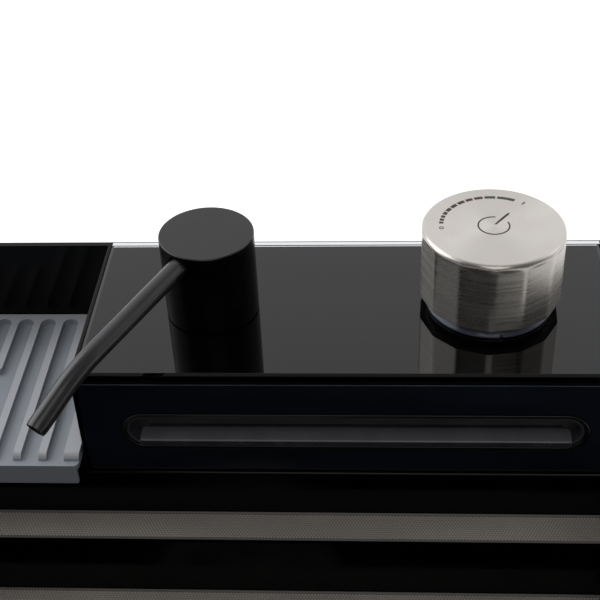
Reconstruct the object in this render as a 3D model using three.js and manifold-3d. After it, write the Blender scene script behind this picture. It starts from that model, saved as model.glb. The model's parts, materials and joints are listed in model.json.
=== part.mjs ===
// Compact workstation sink with a raised rear deck: a glass-topped tap module with a
// waterfall slot, a control knob and a swivelling spout, beside a bay with a drain tray.
//
// Deck datum (millimetres): x = 0 is the left edge of the glass, y = 0 its front edge,
// z = 0 its top face; +X right, +Y to the back, +Z up. The exported group moves that datum
// so that the part's own origin is on the underside of the front rim, on the centre line.

import * as THREE from 'three';
import { mergeVertices } from 'three/addons/utils/BufferGeometryUtils.js';
import Module from 'manifold-3d';

const wasm = await Module();
wasm.setup();

// ---------------------------------------------------------------- driving dimensions
const GAP = 0.3; // clearance between touching pieces
const GLASS = { width: 232.5, depth: 96.2, thick: 4, bevel: 1.5, drop: 0.6 };
const KNOB = { x: 177.6, y: 52.1, r: 31.7, bottom: 6, top: 39.8, facets: 14, wall: 3.6 };
const POST = { x: 54.5, y: 47, r: 20.6, height: 40.2, wall: 2.4 };
const SPOUT = {
  heading: THREE.MathUtils.degToRad(-121.5), // plan direction from the post's axis
  height: 32.5, // centre line where it leaves the post
  slope: -0.11, // fall per millimetre up to the bend
  bend: 84, // distance from the axis to the middle of the bend
  blend: 12, // half the length of the bend
  tipSlope: -0.41, // fall per millimetre beyond the bend
  reach: 110.5,
  r: 4.7,
  bore: 3.6,
};
const PANEL = { top: -5.4, bottom: -54, thick: 1.5 };
const SLOT = { x0: 16.7, x1: 218.1, top: -22, bottom: -42.1 };
const LIP = { x0: 24.2, x1: 211.2, top: -36.3, under: -37.6, nose: -39.5, front: -1, back: 7.6 };
const DIVIDER = { x0: -2.2, x1: -0.3 };
const COUNTER = -60; // top of the worktop, which the rim rests on
const RIM = { thick: 3, flange: 18, corner: 14 };
const DECK_WALL = 3.5; // folded edge of the raised deck
const WALL_TOP = -0.8; // the glass stands a little above that edge
const BACK = 97; // inner face of the deck's back wall
const RIGHT = 233.1; // inner face of the right wall
const TRAY = {
  right: -3.2,
  front: -8.2,
  back: 96.5,
  top: -42.3,
  floor: -45.5,
  under: -48,
  lip: -56.6,
  border: 6.85,
  rib: 3.65,
  pitch: 11.35,
  channels: 11,
  channelEnd: 92.6,
  padEnd: 53,
};
const SHEET = 2; // wall of the bowl
const BOWL = { front: -300, corner: 12, ledge: 16, ledge1: -82.6, ledge2: -118, floor: -262 };
const DRAIN = { hole: 45, flange: 57, cup: 43.5, cupDepth: 36, neck: 21, tail: 18.2 };

const trayWidth = 2 * TRAY.border + TRAY.channels * (TRAY.pitch - TRAY.rib)
  + (TRAY.channels - 1) * TRAY.rib;
const trayLeft = TRAY.right - trayWidth;
const LEFT = trayLeft - 1; // inner face of the left wall
const outer = {
  x0: LEFT - DECK_WALL - RIM.flange,
  x1: RIGHT + DECK_WALL + RIM.flange,
  y0: BOWL.front - SHEET - RIM.flange,
  y1: BACK + DECK_WALL + RIM.flange,
};
const rimTop = COUNTER + RIM.thick;
const deckUnder = COUNTER + 1; // underside of the deck's floor, clear of the worktop
const centreX = (outer.x0 + outer.x1) / 2;
const seatY = outer.y0 + RIM.flange / 2; // middle of the front rim's width
const drainY = BOWL.front / 2; // the drain is in the middle of the floor

// ---------------------------------------------------------------- materials
const finish = (color, roughness, metalness) =>
  new THREE.MeshStandardMaterial({ color, roughness, metalness });
const look = {
  blackSteel: finish(0x0b0c0f, 0.35, 0.8),
  glass: finish(0x050507, 0.05, 0.0),
  steel: finish(0xb7b1a6, 0.35, 1.0),
  brass: finish(0xb8924a, 0.35, 1.0),
  blackMetal: finish(0x1a1a1d, 0.35, 0.6),
  blackPlastic: finish(0x101012, 0.5, 0.0),
  greyPlastic: finish(0x7d8189, 0.55, 0.0),
  whitePlastic: finish(0xd8d8d4, 0.5, 0.0),
  ceramic: finish(0xf0ede4, 0.3, 0.0),
  rubber: finish(0x151515, 0.8, 0.0),
  board: finish(0x1d5a34, 0.5, 0.0),
  lens: finish(0x8a93b8, 0.3, 0.0),
};

// ---------------------------------------------------------------- solids
/** A closed three.js geometry as a solid. */
function solid(geometry) {
  const bare = geometry.clone();
  bare.deleteAttribute('normal');
  bare.deleteAttribute('uv');
  const merged = mergeVertices(bare, 1e-4);
  const index = merged.index.array;
  const faces = [];
  for (let i = 0; i < index.length; i += 3) {
    const [a, b, c] = [index[i], index[i + 1], index[i + 2]];
    if (a !== b && b !== c && c !== a) faces.push(a, b, c);
  }
  return new wasm.Manifold(new wasm.Mesh({
    numProp: 3,
    vertProperties: new Float32Array(merged.attributes.position.array),
    triVerts: new Uint32Array(faces),
  }));
}

/** A solid as a three.js geometry with flat-shaded normals. */
function geometryOf(body) {
  const mesh = body.getMesh();
  const geometry = new THREE.BufferGeometry();
  geometry.setAttribute('position', new THREE.BufferAttribute(mesh.vertProperties, 3));
  geometry.setIndex(new THREE.BufferAttribute(mesh.triVerts, 1));
  geometry.computeVertexNormals();
  return geometry;
}

const cut = (body, ...tools) => tools.reduce((left, tool) => left.subtract(tool), body);
const join = (body, ...more) => more.reduce((left, piece) => left.add(piece), body);

/** A box from its two corners. */
function box(x0, x1, y0, y1, z0, z1) {
  const geometry = new THREE.BoxGeometry(x1 - x0, y1 - y0, z1 - z0);
  return solid(geometry.translate((x0 + x1) / 2, (y0 + y1) / 2, (z0 + z1) / 2));
}

/** A rectangle with round corners, as a shape. */
function roundedShape(x0, x1, y0, y1, r) {
  const shape = new THREE.Shape();
  shape.moveTo(x0 + r, y0);
  shape.lineTo(x1 - r, y0);
  shape.absarc(x1 - r, y0 + r, r, -Math.PI / 2, 0);
  shape.lineTo(x1, y1 - r);
  shape.absarc(x1 - r, y1 - r, r, 0, Math.PI / 2);
  shape.lineTo(x0 + r, y1);
  shape.absarc(x0 + r, y1 - r, r, Math.PI / 2, Math.PI);
  shape.lineTo(x0, y0 + r);
  shape.absarc(x0 + r, y0 + r, r, Math.PI, 1.5 * Math.PI);
  return shape;
}

/** An upright prism of a plan shape between two heights. */
function prism(shape, z0, z1, curveSegments = 4) {
  const options = { depth: z1 - z0, bevelEnabled: false, curveSegments };
  return solid(new THREE.ExtrudeGeometry(shape, options).translate(0, 0, z0));
}

const roundedPrism = (x0, x1, y0, y1, z0, z1, r, segments) =>
  prism(roundedShape(x0, x1, y0, y1, r), z0, z1, segments);

/** A plate whose shape is drawn in x and z, from y0 to y1. */
function plate(shape, y0, y1, curveSegments = 4) {
  const options = { depth: y1 - y0, bevelEnabled: false, curveSegments };
  const geometry = new THREE.ExtrudeGeometry(shape, options);
  return solid(geometry.rotateX(Math.PI / 2).translate(0, y1, 0));
}

/** The slot's stadium outline in x and z, grown outwards by a distance. */
function stadium(grow) {
  const r = (SLOT.top - SLOT.bottom) / 2 + grow;
  return roundedShape(SLOT.x0 - grow, SLOT.x1 + grow, SLOT.bottom - grow, SLOT.top + grow,
    r - 0.01);
}

/** A body turned about an upright axis, from a closed outline of [radius, height] pairs. */
function turned(x, y, outline, segments = 24) {
  const points = outline.map(([r, z]) => new THREE.Vector2(r, z));
  if (outline[0][0] > 0) points.push(points[0].clone());
  const geometry = new THREE.LatheGeometry(points, segments);
  return solid(geometry.rotateX(Math.PI / 2).translate(x, y, 0));
}

/** An upright cylinder. */
const rod = (x, y, r, z0, z1, segments = 24) =>
  turned(x, y, [[0, z0], [r, z0], [r, z1], [0, z1]], segments);

/** An upright ring. */
const ring = (x, y, r0, r1, z0, z1, segments = 24) =>
  turned(x, y, [[r0, z0], [r1, z0], [r1, z1], [r0, z1]], segments);

/** A six-sided nut with a round hole. */
const hexNut = (x, y, flats, hole, z0, z1) =>
  cut(rod(x, y, flats / Math.sqrt(3), z0, z1, 6), rod(x, y, hole, z0 - 1, z1 + 1));

/** A ring of round section. */
function torus(x, y, r, wire, z) {
  return solid(new THREE.TorusGeometry(r, wire, 5, 16).translate(x, y, z));
}

/** A round bar between two points. */
function bar(from, to, r, segments = 20) {
  const a = new THREE.Vector3(...from);
  const b = new THREE.Vector3(...to);
  const along = b.clone().sub(a);
  const geometry = new THREE.CylinderGeometry(r, r, along.length(), segments);
  const up = new THREE.Vector3(0, 1, 0);
  const turn = new THREE.Quaternion().setFromUnitVectors(up, along.clone().normalize());
  const middle = a.add(b).multiplyScalar(0.5);
  return solid(geometry.applyQuaternion(turn).translate(middle.x, middle.y, middle.z));
}

/** A tube of round section swept along a curve, hollow where a bore is given. */
function swept(curve, r, bore, steps, sides) {
  const section = new THREE.Shape();
  section.absarc(0, 0, r, 0, 2 * Math.PI);
  if (bore) section.holes.push(new THREE.Path().absarc(0, 0, bore, 0, 2 * Math.PI, true));
  const options = { steps, extrudePath: curve, curveSegments: sides, bevelEnabled: false };
  return solid(new THREE.ExtrudeGeometry(section, options));
}

// ---------------------------------------------------------------- assembly
const part = new THREE.Group();
const deck = new THREE.Group();
deck.position.set(-centreX, -seatY, -COUNTER);
part.add(deck);

function place(name, body, material) {
  const mesh = new THREE.Mesh(geometryOf(body), material);
  mesh.name = name;
  deck.add(mesh);
  return mesh;
}

// ---------------------------------------------------------------- sink
/** The space inside the bowl: straight side walls, two ledges at the back and front. */
function bowlSpace(grow, top) {
  const tiers = [
    { step: 0, z: BOWL.ledge1 },
    { step: BOWL.ledge, z: BOWL.ledge2 },
    { step: 2 * BOWL.ledge, z: BOWL.floor },
  ];
  const spaces = tiers.map(({ step, z }) => roundedPrism(
    LEFT - grow, RIGHT + grow, BOWL.front + step - grow, -step + grow, z - grow, top,
    BOWL.corner + grow, 2));
  return join(...spaces);
}

function sinkBody() {
  const deckLeft = LEFT - DECK_WALL;
  const deckRight = RIGHT + DECK_WALL;
  const rim = roundedPrism(outer.x0, outer.x1, outer.y0, outer.y1, COUNTER, rimTop, RIM.corner, 3);
  const deckBlock = roundedPrism(deckLeft, deckRight, 0, BACK + DECK_WALL, COUNTER, WALL_TOP,
    1.2, 3);
  const shell = join(rim, deckBlock, bowlSpace(SHEET, rimTop - 1));
  const bay = box(LEFT, DIVIDER.x0, -1, BACK, rimTop, 1);
  const cell = box(DIVIDER.x1, RIGHT, -1, BACK, rimTop, 1);
  const relief = box(LEFT, RIGHT, SHEET, BACK, COUNTER - 1, deckUnder);
  const holes = [
    rod(POST.x, POST.y, 9, COUNTER - 1, rimTop + 1, 24),
    rod(KNOB.x, KNOB.y, 11.5, COUNTER - 1, rimTop + 1, 24),
    rod(130, 78, 4, COUNTER - 1, rimTop + 1, 16),
    rod(centreX, drainY, DRAIN.hole, BOWL.floor - 5, BOWL.floor + 5, 28),
    bar([RIGHT - 3, drainY, -96], [RIGHT + 6, drainY, -96], 9, 24),
  ];
  return cut(shell, bay, cell, relief, bowlSpace(0, rimTop + 1), ...holes);
}
place('sink_body', sinkBody(), look.blackSteel);

// ---------------------------------------------------------------- tap module
const housing = { x0: 0.3, x1: 232.4, y0: 2, y1: 96.4, floor: -56.7, top: -6, wall: 2 };

function moduleHousing() {
  const { x0, x1, y0, y1, floor, top, wall } = housing;
  return cut(
    box(x0, x1, y0, y1, floor, top),
    box(x0 + wall, x1 - wall, y0 + wall, y1 - wall, floor + wall, top + 1),
    box(SLOT.x0 - 2, SLOT.x1 + 2, y0 - 1, y0 + wall + 1, SLOT.bottom - 2, SLOT.top + 2),
    rod(POST.x, POST.y, 9, floor - 1, floor + wall + 1, 24),
    rod(KNOB.x, KNOB.y, 11.5, floor - 1, floor + wall + 1, 24),
    rod(130, 78, 4, floor - 1, floor + wall + 1, 16),
  );
}

function glassTop() {
  const { width, depth, thick, bevel, drop } = GLASS;
  const outline = roundedShape(bevel, width - bevel, bevel, depth - bevel, 0.5);
  const options = {
    depth: thick, bevelEnabled: true, bevelSegments: 1, bevelSize: bevel,
    bevelThickness: drop, curveSegments: 3,
  };
  const slab = solid(new THREE.ExtrudeGeometry(outline, options).translate(0, 0, -thick - drop));
  return cut(
    slab,
    box(-5, width + 5, -5, depth + 5, -thick - 5, -thick),
    rod(POST.x, POST.y, 8.6, -6, 1, 24),
    rod(KNOB.x, KNOB.y, 9, -6, 1, 24),
  );
}

function glassGasket() {
  const z0 = housing.top + GAP;
  const z1 = -GLASS.thick - GAP;
  return cut(box(1, GLASS.width - 1, 2, GLASS.depth - 1, z0, z1),
    box(5, GLASS.width - 5, 6, GLASS.depth - 5, z0 - 1, z1 + 1));
}

function frontPanel() {
  const sheet = box(0, GLASS.width + 0.3, 0, PANEL.thick, PANEL.bottom, PANEL.top);
  return cut(sheet, plate(stadium(GAP), -1, PANEL.thick + 1));
}

const bezelWidth = 1.8;
const cupWall = 1.2;
const cupBack = LIP.back + cupWall;
const slit = { x0: LIP.x0 + 3, x1: LIP.x1 - 3, z0: LIP.top + 0.3, z1: LIP.top + 1.6 };

function nozzleBezel() {
  return cut(plate(stadium(0), -0.5, 3), plate(stadium(-bezelWidth), -1, 4));
}

/** The recess behind the bezel, open in front, with the slit that lets the water out. */
function nozzleInsert() {
  const inset = -bezelWidth - GAP;
  return cut(
    plate(stadium(inset), 0.4, cupBack),
    plate(stadium(inset - cupWall), -1, LIP.back + GAP),
    box(slit.x0, slit.x1, 0, cupBack + 1, slit.z0, slit.z1),
  );
}

/** The flat plate the water runs out over, with a deeper nose in front. */
function nozzleLip() {
  const { x0, x1, top, under, nose, front, back } = LIP;
  return join(box(x0, x1, front, 0.1, nose, top), box(x0 + 1.5, x1 - 1.5, 0, back, under, top));
}

function waterfallManifold(outletX, outletZ) {
  const { x0, x1 } = slit;
  const y0 = cupBack + GAP;
  const y1 = 27;
  return cut(
    box(x0 - 4, x1 + 4, y0, y1, -50, -22),
    box(x0 - 2, x1 + 2, y0 + 2, y1 - 2, -48, -24),
    box(x0, x1, y0 - 1, y0 + 3, slit.z0, slit.z1),
    bar([outletX, y1 - 3, outletZ], [outletX, y1 + 1, outletZ], 5.8),
  );
}

const port = { x: KNOB.x + 5, z: -42, bore: 4 };
place('module_housing', moduleHousing(), look.blackPlastic);
place('glass_gasket', glassGasket(), look.rubber);
place('glass_top', glassTop(), look.glass);
place('front_panel', frontPanel(), look.blackSteel);
place('nozzle_bezel', nozzleBezel(), look.blackMetal);
place('nozzle_insert', nozzleInsert(), look.blackMetal);
place('nozzle_lip', nozzleLip(), look.blackMetal);
place('waterfall_manifold', waterfallManifold(port.x, port.z), look.blackPlastic);

// ---------------------------------------------------------------- flow cartridge
const CARTRIDGE = { r: 17, cavity: 12, floor: -37.3, bottom: -50, tail: 10.5, tailEnd: -104 };

function cartridgeBody() {
  const { r, cavity, floor, bottom, tail, tailEnd } = CARTRIDGE;
  const { x, y } = KNOB;
  return cut(
    join(rod(x, y, r, bottom, -24, 32), rod(x, y, tail, tailEnd, bottom + 1)),
    rod(x, y, cavity, floor, -20),
    rod(x - 4.5, y, port.bore, tailEnd - 1, floor + 1, 16),
    rod(port.x, y, port.bore, port.z - port.bore, floor + 1, 16),
    bar([port.x, y - r - 2, port.z], [port.x, y, port.z], port.bore),
  );
}

/** A ceramic disc with a kidney port each side. */
function portedDisc(z0, z1) {
  return cut(rod(KNOB.x, KNOB.y, 11.6, z0, z1),
    rod(KNOB.x - 5, KNOB.y, 3.4, z0 - 1, z1 + 1, 16),
    rod(KNOB.x + 5, KNOB.y, 3.4, z0 - 1, z1 + 1, 16));
}

function rotorDisc() {
  const spindle = 4;
  const half = spindle / 2;
  return join(
    cut(rod(KNOB.x, KNOB.y, 11.6, -31, -27), rod(KNOB.x, KNOB.y + 6, 3.2, -32, -29, 16)),
    rod(KNOB.x, KNOB.y, 4.5, -28, -17.3, 24),
    box(KNOB.x - half, KNOB.x + half, KNOB.y - half, KNOB.y + half, -18, -12),
  );
}

function outletPipe() {
  const y0 = 25.4;
  const y1 = KNOB.y - CARTRIDGE.r - GAP;
  return cut(bar([port.x, y0, port.z], [port.x, y1, port.z], 5.4),
    bar([port.x, y0 - 1, port.z], [port.x, y1 + 1, port.z], 3.9));
}

place('cartridge_body', cartridgeBody(), look.brass);
place('outlet_pipe', outletPipe(), look.brass);
place('cartridge_seal', torus(KNOB.x, KNOB.y, 9.6, 0.7, -36.3), look.rubber);
place('stator_disc', portedDisc(-35.3, -31.3), look.ceramic);
place('rotor_disc', rotorDisc(), look.ceramic);
place('cartridge_bonnet', ring(KNOB.x, KNOB.y, 5, 16.5, -23.7, -16), look.brass);
place('cartridge_washer', ring(KNOB.x, KNOB.y, 11, 19, -61, deckUnder - GAP), look.rubber);
place('cartridge_locknut', hexNut(KNOB.x, KNOB.y, 34, 10.9, -70, -61.3), look.brass);

// ---------------------------------------------------------------- push switch and knob
const shaftR = 4;

function pushSwitch() {
  const board = ring(KNOB.x, KNOB.y, 9.2, 15.5, -15.7, -14.2);
  return join(board, box(KNOB.x + 9.6, KNOB.x + 13.6, KNOB.y - 2, KNOB.y + 2, -14.5, -9.6));
}

function thrustCollar() {
  return join(ring(KNOB.x, KNOB.y, shaftR + GAP, 8.5, -8.3, -5.8),
    box(KNOB.x + 7.8, KNOB.x + 13.4, KNOB.y - 1.8, KNOB.y + 1.8, -8.3, -6.2));
}

function returnSpring() {
  class Coil extends THREE.Curve {
    getPoint(t, target = new THREE.Vector3()) {
      const turns = 4;
      const angle = 2 * Math.PI * turns * t;
      const z = THREE.MathUtils.lerp(-15.1, -9.1, t);
      return target.set(KNOB.x + 6.3 * Math.cos(angle), KNOB.y + 6.3 * Math.sin(angle), z);
    }
  }
  return swept(new Coil(), 0.45, 0, 32, 2);
}

function knobShaft() {
  const { x, y } = KNOB;
  const outline = [[0, -15.7], [shaftR, -15.7], [shaftR, -5.5], [6, -5.5], [6, -4], [shaftR, -4],
    [shaftR, 29], [0, 29]];
  const socket = 2.4; // half the square socket that takes the rotor's spindle
  return cut(turned(x, y, outline, 24),
    box(x - socket, x + socket, y - socket, y + socket, -20, -10.4));
}

function knobCore() {
  const { x, y } = KNOB;
  const inner = KNOB.r - KNOB.wall;
  const outline = [[shaftR + GAP, 8], [9, 8], [9, 26], [inner - 1, 30.4], [inner - 1, 35.2],
    [shaftR + GAP, 35.2]];
  return cut(turned(x, y, outline, 32), bar([x, y, 14], [x + 15, y, 14], 1.9, 10));
}

/** The steel cap: a fourteen-sided skirt under a round top with a soft edge. */
function knobCap() {
  const { x, y, r, bottom, top, facets, wall } = KNOB;
  const rim = r - 0.4;
  const skirt = rod(x, y, r, bottom, top - 4, facets);
  const crown = turned(x, y, [[0, top - 5], [rim, top - 5], [rim, top - 2.8], [rim - 0.8, top - 0.9],
    [rim - 2.6, top], [0, top]], 42);
  return cut(join(skirt, crown), rod(x, y, r - wall, bottom - 1, top - 4.2, 32));
}

function lightRing() {
  const outline = [[20.6, 0.4], [28, 0.4], [28, 1.1], [24.6, 4.6], [20.6, 4.6]];
  const notch = box(KNOB.x - 1, KNOB.x + 1, KNOB.y - 29, KNOB.y - 27.2, 0, 2);
  return cut(turned(KNOB.x, KNOB.y, outline, 40), notch);
}

place('push_switch', pushSwitch(), look.board);
place('thrust_collar', thrustCollar(), look.whitePlastic);
place('return_spring', returnSpring(), look.steel);
place('ring_base', ring(KNOB.x, KNOB.y, 5, 20.2, 0.3, 2), look.blackPlastic);
place('led_board', ring(KNOB.x, KNOB.y, 6, 20.2, 2.3, 3.9), look.board);
place('light_ring', lightRing(), look.lens);
place('knob_shaft', knobShaft(), look.steel);
place('knob_core', knobCore(), look.blackPlastic);
place('knob_grub_screw', bar([KNOB.x + shaftR + 0.4, KNOB.y, 14], [KNOB.x + 10, KNOB.y, 14], 1.5, 12),
  look.steel);
place('knob_cap', knobCap(), look.steel);

// ---------------------------------------------------------------- spout post
const toward = (s, z) => [POST.x + s * Math.cos(SPOUT.heading), POST.y + s * Math.sin(SPOUT.heading), z];

/** Height of the tube's centre line at a distance from the post's axis. */
function spoutHeight(s) {
  const start = SPOUT.height + SPOUT.slope * (s - POST.r);
  const into = THREE.MathUtils.clamp(s - SPOUT.bend + SPOUT.blend, 0, 2 * SPOUT.blend);
  const beyond = Math.max(s - SPOUT.bend - SPOUT.blend, 0);
  return start + (SPOUT.tipSlope - SPOUT.slope) * (into ** 2 / (4 * SPOUT.blend) + beyond);
}

function spoutTube() {
  class Line extends THREE.Curve {
    getPoint(t, target = new THREE.Vector3()) {
      const s = THREE.MathUtils.lerp(9.6, SPOUT.reach, t);
      return target.set(...toward(s, spoutHeight(s)));
    }
  }
  return swept(new Line(), SPOUT.r, SPOUT.bore, 8, 7);
}

function postShell() {
  const inner = POST.r - POST.wall;
  return cut(
    ring(POST.x, POST.y, inner, POST.r, GAP, 38.6, 40),
    bar(toward(12, spoutHeight(12)), toward(26, spoutHeight(26)), SPOUT.r + 1.2, 24),
  );
}

function postCap() {
  const outline = [[0, 38.4], [17.7, 38.4], [17.7, 38.9], [POST.r, 38.9], [POST.r, 39.3],
    [POST.r - 0.9, POST.height], [0, POST.height]];
  return turned(POST.x, POST.y, outline, 40);
}

/** The turning hub inside the post: seals on the riser and holds the root of the tube. */
function swivelHub() {
  const r = POST.r - POST.wall - GAP;
  return cut(
    rod(POST.x, POST.y, r, 10, 37.4, 40),
    rod(POST.x, POST.y, 8.3, 9, 28.8),
    rod(POST.x, POST.y, 4, 28, 32.5, 20),
    bar(toward(8.6, spoutHeight(8.6)), toward(26, spoutHeight(26)), SPOUT.r + GAP, 20),
    bar(toward(0, spoutHeight(0)), toward(12, spoutHeight(12)), SPOUT.bore, 16),
  );
}

function riser() {
  const outline = [[3.5, -100], [8, -100], [8, 12], [6.6, 13.5], [6.6, 28.4], [3.5, 28.4]];
  return turned(POST.x, POST.y, outline, 32);
}

place('riser', riser(), look.brass);
place('swivel_bush', ring(POST.x, POST.y, 8.4, 17.8, GAP, 6), look.whitePlastic);
place('riser_seal_lower', torus(POST.x, POST.y, 7.45, 0.65, 17), look.rubber);
place('riser_seal_upper', torus(POST.x, POST.y, 7.45, 0.65, 24), look.rubber);
place('riser_washer', ring(POST.x, POST.y, 8.4, 16, -61, deckUnder - GAP), look.rubber);
place('riser_locknut', hexNut(POST.x, POST.y, 26, 8.4, -69, -61.3), look.brass);
place('hose_connector', cut(turned(POST.x, POST.y, [[0, -122], [5, -122], [6.2, -114], [5.2, -113.5],
  [6.4, -106], [9.5, -105.5], [9.5, -100.3], [0, -100.3]], 24), rod(POST.x, POST.y, 3, -123, -99, 16)),
look.whitePlastic);
place('swivel_hub', swivelHub(), look.blackPlastic);
place('post_shell', postShell(), look.blackMetal);
place('post_cap', postCap(), look.blackMetal);
place('spout_tube', spoutTube(), look.blackMetal);

// ---------------------------------------------------------------- drain tray
const channelWidth = TRAY.pitch - TRAY.rib;
const channelRight = (k) => TRAY.right - TRAY.border - k * TRAY.pitch;

/** A channel with a round back end, open to the front. */
function channel(k) {
  const x1 = channelRight(k);
  const r = channelWidth / 2;
  const shape = new THREE.Shape();
  shape.moveTo(x1 - channelWidth, -20);
  shape.lineTo(x1, -20);
  shape.lineTo(x1, TRAY.channelEnd - r);
  shape.absarc(x1 - r, TRAY.channelEnd - r, r, 0, Math.PI);
  return prism(shape, TRAY.floor, TRAY.top + 1, 3);
}

const footSpots = [[trayLeft + 12, 6], [TRAY.right - 12, 6], [trayLeft + 12, 86], [TRAY.right - 12, 86]];

function drainTray() {
  const { right, front, back, top, floor, under, lip } = TRAY;
  const padRight = channelRight(3) - channelWidth - TRAY.rib;
  const padLeft = channelRight(9) - channelWidth;
  const slab = roundedPrism(trayLeft, right, front, back, under, top, 2.5, 4);
  const channels = Array.from({ length: TRAY.channels }, (_, k) => channel(k));
  const frontStrip = box(trayLeft - 1, right + 1, front - 1, front + 3, floor, top + 1);
  const pad = box(padLeft, padRight + TRAY.rib, front, TRAY.padEnd, floor, top + 1);
  const apron = box(trayLeft + 1, right - 1, front, front + 2.6, lip, under + 0.5);
  const feet = footSpots.map(([x, y]) => rod(x, y, 6, -54.4, under + 0.5, 12));
  return join(cut(slab, ...channels, frontStrip, pad), apron, ...feet);
}

place('drain_tray', drainTray(), look.greyPlastic);
footSpots.forEach(([x, y], k) => {
  place(`tray_foot_${k + 1}`, rod(x, y, 5, rimTop + GAP, -54.7, 12), look.rubber);
});

// ---------------------------------------------------------------- waste
const floorTop = BOWL.floor;
const floorUnder = BOWL.floor - SHEET;
const cupBottom = floorTop - DRAIN.cupDepth;
const SPIGOT = { z: -282, end: 56.5 }; // overflow inlet on the strainer's side

function strainerBody() {
  const { cup, flange, neck } = DRAIN;
  const wall = 2;
  return cut(
    join(
      turned(centreX, drainY, [[cup - wall, cupBottom], [cup, cupBottom], [cup, floorTop + GAP],
        [flange, floorTop + GAP], [flange - 1, floorTop + 1.8], [cup - wall, floorTop + 1.8]], 32),
      ring(centreX, drainY, neck - wall, cup - 0.5, cupBottom - wall, cupBottom + 0.2, 32),
      ring(centreX, drainY, neck - wall, neck, cupBottom - 18, cupBottom - 0.5),
      bar([centreX + cup - 1, drainY, SPIGOT.z], [centreX + SPIGOT.end, drainY, SPIGOT.z], 8.5, 20),
    ),
    bar([centreX + 30, drainY, SPIGOT.z], [centreX + 70, drainY, SPIGOT.z], 6.6, 20),
  );
}

function slipNut() {
  const { neck, tail } = DRAIN;
  return turned(centreX, drainY, [[tail + GAP, cupBottom - 26], [neck + 5, cupBottom - 26],
    [neck + 5, cupBottom - 8], [neck + GAP, cupBottom - 8], [neck + GAP, cupBottom - 21],
    [tail + GAP, cupBottom - 21]]);
}

/** The lift-out cup: a lipped cup with rows of round holes in its wall and floor. */
function basket() {
  const top = floorTop - 1;
  const bottom = top - 28;
  const cup = turned(centreX, drainY, [[4.2, bottom], [34, bottom], [39, top - 1.5], [41, top - 1.5],
    [41, top], [37.6, top], [32.9, bottom + 1.5], [4.2, bottom + 1.5]], 36);
  const holes = [];
  const count = 8;
  for (let k = 0; k < count; k += 1) {
    const angle = (2 * Math.PI * k) / count;
    const reach = (r, z) => [centreX + r * Math.cos(angle), drainY + r * Math.sin(angle), z];
    holes.push(bar(reach(28, top - 17), reach(44, top - 17), 2.4, 6));
    holes.push(rod(...reach(26, 0).slice(0, 2), 2.4, bottom - 1, bottom + 3, 6));
  }
  return cut(cup, ...holes);
}

function basketPost() {
  const top = floorTop - 6;
  return turned(centreX, drainY, [[0, cupBottom + 3], [1.8, cupBottom + 3], [1.8, top - 24.6],
    [3.9, top - 24.6], [3.9, top - 18], [2.2, top - 16], [2.2, top - 6], [7.5, top - 3], [8.2, top],
    [6, top + 3], [0, top + 3]], 24);
}

/** The sink's overflow: a slotted plate inside, an elbow outside and its hose. */
const overflowZ = -96;

function overflowPlate() {
  const x = RIGHT - GAP;
  const disc = bar([x - 2.5, drainY, overflowZ], [x, drainY, overflowZ], 16, 32);
  const slots = [-7, 0, 7].map((dz) => box(x - 5, x + 1, drainY - 8, drainY + 8,
    overflowZ + dz - 1.6, overflowZ + dz + 1.6));
  return cut(disc, ...slots);
}

function overflowElbow() {
  const x0 = RIGHT + SHEET + GAP;
  const turnX = x0 + 11;
  return cut(
    join(
      bar([x0, drainY, overflowZ], [x0 + 4, drainY, overflowZ], 15, 24),
      bar([x0, drainY, overflowZ], [turnX, drainY, overflowZ], 8, 20),
      bar([turnX, drainY, overflowZ + 8], [turnX, drainY, overflowZ - 24], 8, 20),
    ),
    bar([x0 - 1, drainY, overflowZ], [turnX, drainY, overflowZ], 6, 20),
    bar([turnX, drainY, overflowZ + 5], [turnX, drainY, overflowZ - 25], 6, 20),
  );
}

function overflowHose() {
  const x = RIGHT + SHEET + GAP + 11;
  const start = new THREE.Vector3(x, drainY, overflowZ - 24.3);
  const down = new THREE.Vector3(x, drainY, -248);
  const under = new THREE.Vector3(x - 44, drainY, -290);
  const end = new THREE.Vector3(centreX + SPIGOT.end + GAP, drainY, SPIGOT.z);
  const path = new THREE.CurvePath();
  path.add(new THREE.LineCurve3(start, down));
  path.add(new THREE.CubicBezierCurve3(down, new THREE.Vector3(x, drainY, -280),
    new THREE.Vector3(x - 14, drainY, -290), under));
  path.add(new THREE.CubicBezierCurve3(under, new THREE.Vector3(x - 76, drainY, -290),
    new THREE.Vector3(end.x + 30, drainY, SPIGOT.z), end));
  return swept(path, 8, 6.2, 12, 4);
}

place('strainer_body', strainerBody(), look.steel);
place('strainer_gasket', ring(centreX, drainY, DRAIN.cup + 0.4, 55, floorUnder - 3.3, floorUnder - GAP, 32),
  look.rubber);
place('strainer_locknut', ring(centreX, drainY, DRAIN.cup + 0.4, 54, floorUnder - 8, floorUnder - 3.6, 32),
  look.whitePlastic);
place('slip_nut', slipNut(), look.whitePlastic);
place('tailpiece', ring(centreX, drainY, 16.8, DRAIN.tail, cupBottom - 62, cupBottom - 3), look.whitePlastic);
place('strainer_basket', basket(), look.steel);
place('basket_post', basketPost(), look.steel);
place('basket_stopper', ring(centreX, drainY, 2.1, 24, cupBottom + 0.6, cupBottom + 3.6, 32), look.rubber);
place('overflow_plate', overflowPlate(), look.steel);
place('overflow_elbow', overflowElbow(), look.blackPlastic);
place('overflow_hose', overflowHose(), look.blackPlastic);

// ---------------------------------------------------------------- electrics under the deck
const BOX = { x0: 92, x1: 152, y0: 22, y1: 88, z0: -86, z1: deckUnder - GAP };

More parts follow.
